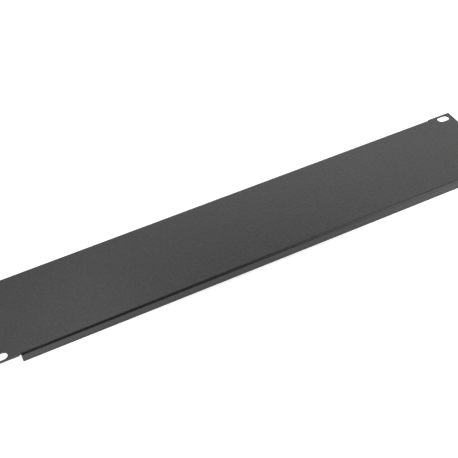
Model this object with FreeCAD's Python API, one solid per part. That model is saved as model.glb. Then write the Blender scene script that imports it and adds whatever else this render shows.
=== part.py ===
"""Rack blanking panel, two rack units high, folded from one sheet of steel.

The panel lies face up on the free edges of its two long folds.
X runs along the panel, Y across it, and Z up out of its front face.
The origin is at the middle of the panel, on the surface that it lies on.
All sizes are in millimetres.
"""
import FreeCAD, Part
import os

Vector = FreeCAD.Vector

# Height, from the rack's unit of height
unit_height = 44.45
unit_count = 2
height_clearance = 0.8        # a panel is this much shorter than its rack space

# Sheet and bends
panel_length = 482.6          # over both ears, the 19 inch width
sheet = 1.5
bend_inside_radius = 0.7
fold_depth = 8.8              # from the front face to the folds' free edges
fold_corner_radius = 0.6      # at the ends of each fold's free edge

# Ears: the flat ends beyond the folds
ear_length = 24.9
ear_inset = 0.45              # an ear's long edge lies this far inside the fold's outer face
ear_corner_radius = 0.5

# Bend reliefs: the notches that part each ear from the end of each fold
relief_width = 1.25
relief_depth = 1.4            # from the fold's outer face
relief_mouth_radius = 0.4     # on the ear's corner beside the notch
relief_end_radius = 0.5       # in the notch's inner corner, on the ear's side

# Mounting slots, one at each corner, along X
slot_length = 12.0
slot_width = 7.8
slot_from_end = 9.55          # slot centre to the end of the panel
slot_from_unit_edge = 6.35    # slot centre to the edge of the rack space

# Sizes that follow
rack_space = unit_count * unit_height
panel_height = rack_space - height_clearance
bend_outside_radius = bend_inside_radius + sheet
half_height = panel_height / 2
fold_end = panel_length / 2 - ear_length
bend_start = half_height - bend_outside_radius
ear_edge = half_height - ear_inset
relief_end = half_height - relief_depth
slot_x = panel_length / 2 - slot_from_end
slot_y = rack_space / 2 - slot_from_unit_edge


def arc_about(centre, radius, direction, turn):
    """Quarter arc in the YZ plane from one unit direction, turning through turn to the next."""
    start = centre + direction * radius
    end = centre + turn * radius
    middle = centre + (direction + turn).normalize() * radius
    return Part.Arc(start, middle, end).toShape()


def channel_profile():
    """Section across the panel: a wide shallow channel with rounded bends, open downwards."""
    x = -fold_end
    up = Vector(0, 0, 1)
    near = Vector(0, -1, 0)
    far = Vector(0, 1, 0)
    near_centre = Vector(x, -bend_start, fold_depth - bend_outside_radius)
    far_centre = Vector(x, bend_start, fold_depth - bend_outside_radius)
    outer_near = arc_about(near_centre, bend_outside_radius, near, up)
    outer_far = arc_about(far_centre, bend_outside_radius, up, far)
    inner_far = arc_about(far_centre, bend_inside_radius, far, up)
    inner_near = arc_about(near_centre, bend_inside_radius, up, near)
    near_foot_outer = Vector(x, -half_height, 0)
    near_foot_inner = Vector(x, -half_height + sheet, 0)
    far_foot_outer = Vector(x, half_height, 0)
    far_foot_inner = Vector(x, half_height - sheet, 0)
    front = Part.makeLine(outer_near.Vertexes[-1].Point, outer_far.Vertexes[0].Point)
    back = Part.makeLine(inner_far.Vertexes[-1].Point, inner_near.Vertexes[0].Point)
    edges = [
        Part.makeLine(near_foot_outer, outer_near.Vertexes[0].Point),
        outer_near,
        front,
        outer_far,
        Part.makeLine(outer_far.Vertexes[-1].Point, far_foot_outer),
        Part.makeLine(far_foot_outer, far_foot_inner),
        Part.makeLine(far_foot_inner, inner_far.Vertexes[0].Point),
        inner_far,
        back,
        inner_near,
        Part.makeLine(inner_near.Vertexes[-1].Point, near_foot_inner),
        Part.makeLine(near_foot_inner, near_foot_outer),
    ]
    return Part.Face(Part.Wire(edges))


def edges_through(shape, points):
    """The straight edges of a shape that have their middle over one of the points."""
    found = []
    for edge in shape.Edges:
        middle = edge.BoundBox.Center
        if any(middle.isEqual(point, 0.001) for point in points):
            found.append(edge)
    return found


def folded_middle():
    """The face between the ears with its two folds, whose free corners are rounded."""
    channel = channel_profile().extrude(Vector(2 * fold_end, 0, 0))
    fold_middle_y = half_height - sheet / 2
    corners = [
        Vector(end * fold_end, side * fold_middle_y, 0)
        for end in (-1, 1)
        for side in (-1, 1)
    ]
    return channel.makeFillet(fold_corner_radius, edges_through(channel, corners))


def ear_blank(end):
    """Flat ear at one end, cut back beside each fold by a bend relief."""
    root = end * fold_end
    notch = end * (fold_end + relief_width)
    tip = end * panel_length / 2
    outline = [
        (root, -relief_end),
        (notch, -relief_end),
        (notch, -ear_edge),
        (tip, -ear_edge),
        (tip, ear_edge),
        (notch, ear_edge),
        (notch, relief_end),
        (root, relief_end),
    ]
    underside = fold_depth - sheet
    points = [Vector(x, y, underside) for x, y in outline]
    flat = Part.Face(Part.makePolygon(points + points[:1]))
    ear = flat.extrude(Vector(0, 0, sheet))
    mid_sheet = fold_depth - sheet / 2
    mouths = [Vector(notch, side * ear_edge, mid_sheet) for side in (-1, 1)]
    ends = [Vector(notch, side * relief_end, mid_sheet) for side in (-1, 1)]
    tips = [Vector(tip, side * ear_edge, mid_sheet) for side in (-1, 1)]
    ear = ear.makeFillet(relief_mouth_radius, edges_through(ear, mouths))
    ear = ear.makeFillet(relief_end_radius, edges_through(ear, ends))
    return ear.makeFillet(ear_corner_radius, edges_through(ear, tips))


def slot_cutter(x, y):
    """Round-ended slot along X, centred at x and y, that passes right through the sheet."""
    radius = slot_width / 2
    reach = slot_length / 2 - radius
    z = fold_depth - 2 * sheet
    left = Vector(x - reach, y, z)
    right = Vector(x + reach, y, z)
    out = Vector(0, radius, 0)
    along = Vector(radius, 0, 0)
    outline = Part.Wire([
        Part.makeLine(left - out, right - out),
        Part.Arc(right - out, right + along, right + out).toShape(),
        Part.makeLine(right + out, left + out),
        Part.Arc(left + out, left - along, left - out).toShape(),
    ])
    return Part.Face(outline).extrude(Vector(0, 0, 3 * sheet))


def slotted_ear(end):
    """Ear with its two mounting slots."""
    ear = ear_blank(end)
    for side in (-1, 1):
        ear = ear.cut(slot_cutter(end * slot_x, side * slot_y))
    return ear


def blanking_panel():
    """The whole folded sheet as one solid."""
    panel = folded_middle().multiFuse([slotted_ear(-1), slotted_ear(1)])
    return panel.removeSplitter()


os.makedirs("parts", exist_ok=True)
panel = blanking_panel()
panel.exportStep("parts/blanking_panel.step")
box = panel.optimalBoundingBox(True, False)
print("solids", len(panel.Solids), "valid", panel.isValid(), "volume", round(panel.Volume, 1))
print("box", round(box.XLength, 3), round(box.YLength, 3), round(box.ZLength, 3))
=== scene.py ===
"""Looks for the rack blanking panel: powder coat, plain studio and the photograph's viewpoint.

Everything is in metres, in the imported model's frame: X along the panel, Y across it, Z up.
A direction's azimuth is 0 towards -Y and grows towards +X, and its elevation is 0 at the horizon.
Pairs of values are the low one and the high one.
"""

import math

import bpy
from mathutils import Matrix, Vector

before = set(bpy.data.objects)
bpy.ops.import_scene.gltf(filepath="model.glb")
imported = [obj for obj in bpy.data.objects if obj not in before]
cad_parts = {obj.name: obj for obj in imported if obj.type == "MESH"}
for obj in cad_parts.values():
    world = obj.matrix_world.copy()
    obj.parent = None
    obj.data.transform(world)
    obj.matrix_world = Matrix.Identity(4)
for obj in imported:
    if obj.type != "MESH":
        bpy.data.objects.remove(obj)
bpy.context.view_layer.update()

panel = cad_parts["blanking_panel"]

# Camera
sensor_width_mm = 36.0
lens_mm = 71.873
camera_place = Vector((-0.221645, -0.53197, 0.561187))
camera_yaw = math.radians(-21.162)      # from +Y towards -X
camera_pitch = math.radians(43.944)     # below the horizon
camera_roll = math.radians(-5.942)      # lifts the right side
camera_reach = (0.01, 100.0)

# Powder coat
coat_dark = (0.005, 0.005, 0.0051, 1.0)
coat_light = (0.015, 0.015, 0.0155, 1.0)
coat_roughness = (0.30, 0.33)
coat_specular = 0.64
noise_span = (0.35, 0.65)               # the noise's values that colour and gloss spread over
grain_per_metre = 480.0
grain_detail = 2.0
grain_height = 0.00009
grain_strength = 1.0
patch_per_metre = 90.0
patch_detail = 3.0

# Floor, whose glow is added to its own colour where it shows, and rises away from the origin; the
# weaker glow near the panel's middle is painted shade, which the near fold reflects darker in its
# middle than at its ends
floor_size = 40.0
floor_colour = (0.9, 0.9, 0.9, 1.0)
floor_glow = (0.53, 1.0)
floor_glow_rise = (0.045, 0.31)         # distances from the origin

# Softboxes: azimuth and elevation in degrees, width and height in metres, and brightness
softbox_distance = 0.6
softboxes = [
    ("softbox_left", -82.0, 35.0, 0.32, 0.70, 1.5),
    ("softbox_behind_left", -150.0, 62.0, 0.35, 0.35, 0.9),
    ("softbox_right", 59.0, 39.0, 0.36, 0.58, 2.2),
    ("softbox_low_right", 41.0, 14.0, 0.40, 0.22, 1.8),
    ("softbox_low_left", -62.0, 16.0, 0.30, 0.24, 1.6),
    ("softbox_behind_right", 118.0, 28.0, 0.35, 0.35, 0.4),
    ("softbox_behind", 158.0, 24.0, 0.4, 0.4, 0.5),
]

# Dim curtain round the studio, with a window in it at the back; angles in degrees
full_turn = 360.0
overhead = 90.0
curtain_radius = 4.0
curtain_step = 3.0
curtain_glow = (0.0, 0.12)              # at the floor and overhead
window_azimuths = (120.0, 213.0)
window_top = 54.0

# World, which is white
world_colour = (1.0, 1.0, 1.0, 1.0)
world_strength = 1.0


def towards(azimuth, elevation):
    """Unit vector in a direction given in degrees."""
    around = math.radians(azimuth)
    above = math.radians(elevation)
    level = math.cos(above)
    return Vector((math.sin(around) * level, -math.cos(around) * level, math.sin(above)))


def add_camera():
    """Camera at the photograph's viewpoint, looking down along the panel from its near left."""
    ahead = Vector((
        -math.sin(camera_yaw) * math.cos(camera_pitch),
        math.cos(camera_yaw) * math.cos(camera_pitch),
        -math.sin(camera_pitch),
    ))
    level = Vector((math.cos(camera_yaw), math.sin(camera_yaw), 0.0))
    over = level.cross(ahead)
    right = level * math.cos(camera_roll) + over * math.sin(camera_roll)
    up = over * math.cos(camera_roll) - level * math.sin(camera_roll)
    data = bpy.data.cameras.new("photo_camera")
    data.sensor_width = sensor_width_mm
    data.lens = lens_mm
    data.clip_start = camera_reach[0]
    data.clip_end = camera_reach[1]
    camera = bpy.data.objects.new("photo_camera", data)
    camera.matrix_world = Matrix((
        (right.x, up.x, -ahead.x, camera_place.x),
        (right.y, up.y, -ahead.y, camera_place.y),
        (right.z, up.z, -ahead.z, camera_place.z),
        (0.0, 0.0, 0.0, 1.0),
    ))
    bpy.context.scene.collection.objects.link(camera)
    bpy.context.scene.camera = camera


def new_material(name):
    """Empty node material, its nodes and links, and its output node."""
    material = bpy.data.materials.new(name)
    material.use_nodes = True
    nodes = material.node_tree.nodes
    nodes.clear()
    output = nodes.new("ShaderNodeOutputMaterial")
    return material, nodes, material.node_tree.links, output


def object_place(nodes):
    """Place on the object, in metres from its origin."""
    return nodes.new("ShaderNodeTexCoord").outputs["Object"]


def noise(nodes, links, place, cells_per_metre, detail):
    """Noise over the object."""
    texture = nodes.new("ShaderNodeTexNoise")
    texture.inputs["Scale"].default_value = cells_per_metre
    texture.inputs["Detail"].default_value = detail
    links.new(place, texture.inputs["Vector"])
    return texture.outputs["Fac"]


def spread(nodes, links, value, before, after):
    """Node that turns one range of values into another, and holds what lies outside at its ends."""
    node = nodes.new("ShaderNodeMapRange")
    node.inputs["From Min"].default_value = before[0]
    node.inputs["From Max"].default_value = before[1]
    node.inputs["To Min"].default_value = after[0]
    node.inputs["To Max"].default_value = after[1]
    links.new(value, node.inputs["Value"])
    return node


def powder_coat():
    """Satin black powder coat: fine specks and faint patches of gloss over a shallow grain."""
    material, nodes, links, output = new_material("black_powder_coat")
    shader = nodes.new("ShaderNodeBsdfPrincipled")
    shader.inputs["Specular IOR Level"].default_value = coat_specular
    place = object_place(nodes)
    grain = noise(nodes, links, place, grain_per_metre, grain_detail)
    patches = noise(nodes, links, place, patch_per_metre, patch_detail)

    colour = nodes.new("ShaderNodeValToRGB")
    dark, light = colour.color_ramp.elements
    dark.position = noise_span[0]
    dark.color = coat_dark
    light.position = noise_span[1]
    light.color = coat_light
    links.new(grain, colour.inputs["Fac"])
    links.new(colour.outputs["Color"], shader.inputs["Base Color"])

    roughness = spread(nodes, links, patches, noise_span, coat_roughness)
    links.new(roughness.outputs["Result"], shader.inputs["Roughness"])

    bump = nodes.new("ShaderNodeBump")
    bump.inputs["Strength"].default_value = grain_strength
    bump.inputs["Distance"].default_value = grain_height
    links.new(grain, bump.inputs["Height"])
    links.new(bump.outputs["Normal"], shader.inputs["Normal"])

    links.new(shader.outputs["BSDF"], output.inputs["Surface"])
    return material


def shown(nodes, links):
    """1 for camera, glossy and transmission rays, and 0 for the rays that carry light about."""
    rays = nodes.new("ShaderNodeLightPath")
    seen = rays.outputs["Is Camera Ray"]
    for name in ("Is Glossy Ray", "Is Transmission Ray"):
        either = nodes.new("ShaderNodeMath")
        either.operation = "MAXIMUM"
        links.new(seen, either.inputs[0])
        links.new(rays.outputs[name], either.inputs[1])
        seen = either.outputs["Value"]
    return seen


def floor_paint():
    """Pale matt floor that shows near white and keeps the panel's shadow where it lies, with a glow
    that is weaker near the panel's middle: painted shade that the near fold reflects.
    """
    material, nodes, links, output = new_material("pale_floor")
    paint = nodes.new("ShaderNodeBsdfDiffuse")
    paint.inputs["Color"].default_value = floor_colour

    distance = nodes.new("ShaderNodeVectorMath")
    distance.operation = "LENGTH"
    links.new(object_place(nodes), distance.inputs[0])
    # glow weakest near the origin: painted shade round the panel's middle, which the near fold
    # reflects
    rise = spread(nodes, links, distance.outputs["Value"], floor_glow_rise, floor_glow)
    rise.interpolation_type = "SMOOTHSTEP"
    strength = nodes.new("ShaderNodeMath")
    strength.operation = "MULTIPLY"
    links.new(shown(nodes, links), strength.inputs[0])
    links.new(rise.outputs["Result"], strength.inputs[1])
    glow = nodes.new("ShaderNodeEmission")
    links.new(strength.outputs["Value"], glow.inputs["Strength"])

    both = nodes.new("ShaderNodeAddShader")
    links.new(paint.outputs["BSDF"], both.inputs[0])
    links.new(glow.outputs["Emission"], both.inputs[1])
    links.new(both.outputs["Shader"], output.inputs["Surface"])
    return material


def add_floor():
    """Plain pale floor that the panel lies on."""
    bpy.ops.mesh.primitive_plane_add(size=floor_size, location=(0.0, 0.0, 0.0))
    floor = bpy.context.object
    floor.name = "floor"
    floor.data.materials.append(floor_paint())


def add_softbox(name, azimuth, elevation, width, height, brightness):
    """Rectangular lamp that faces the middle of the panel, as bright as given all over its face."""
    data = bpy.data.lights.new(name, "AREA")
    data.shape = "RECTANGLE"
    data.size = width
    data.size_y = height
    data.energy = math.pi * width * height * brightness
    lamp = bpy.data.objects.new(name, data)
    direction = towards(azimuth, elevation)
    lamp.location = direction * softbox_distance
    lamp.rotation_euler = direction.to_track_quat("Z", "Y").to_euler()
    lamp.visible_camera = False
    bpy.context.scene.collection.objects.link(lamp)


def curtain_cloth():
    """Dim cloth that lets a little light through, more of it overhead."""
    material, nodes, links, output = new_material("dim_cloth")
    split = nodes.new("ShaderNodeSeparateXYZ")
    links.new(object_place(nodes), split.inputs["Vector"])
    strength = spread(nodes, links, split.outputs["Z"], (0.0, curtain_radius), curtain_glow)
    cloth = nodes.new("ShaderNodeEmission")
    links.new(strength.outputs["Result"], cloth.inputs["Strength"])
    links.new(cloth.outputs["Emission"], output.inputs["Surface"])
    return material


def in_window(azimuth, elevation):
    """Whether a direction in degrees goes out through the window."""
    return window_azimuths[0] < azimuth < window_azimuths[1] and elevation < window_top


def add_curtain():
    """Dim cloth all round and overhead that leaves the window at the back open."""
    verts = []
    faces = []
    across = int(full_turn / curtain_step)
    upward = int(overhead / curtain_step)
    for row in range(upward + 1):
        for column in range(across):
            verts.append(towards(column * curtain_step, row * curtain_step) * curtain_radius)
    for row in range(upward):
        for column in range(across):
            if in_window((column + 0.5) * curtain_step, (row + 0.5) * curtain_step):
                continue
            beside = (column + 1) % across
            faces.append((
                row * across + column,
                row * across + beside,
                (row + 1) * across + beside,
                (row + 1) * across + column,
            ))
    mesh = bpy.data.meshes.new("curtain")
    mesh.from_pydata([tuple(vert) for vert in verts], [], faces)
    curtain = bpy.data.objects.new("curtain", mesh)
    mesh.materials.append(curtain_cloth())
    curtain.visible_camera = False
    bpy.context.scene.collection.objects.link(curtain)


def add_world():
    """White all round, which is the light in the window and the background above the floor."""
    world = bpy.data.worlds.new("studio")
    world.use_nodes = True
    background = world.node_tree.nodes["Background"]
    background.inputs["Color"].default_value = world_colour
    background.inputs["Strength"].default_value = world_strength
    bpy.context.scene.world = world


add_camera()
coat = powder_coat()
for slot in panel.material_slots:
    slot.material = coat
add_floor()
add_world()
add_curtain()
for softbox in softboxes:
    add_softbox(*softbox)
bpy.context.scene.view_settings.view_transform = "Standard"
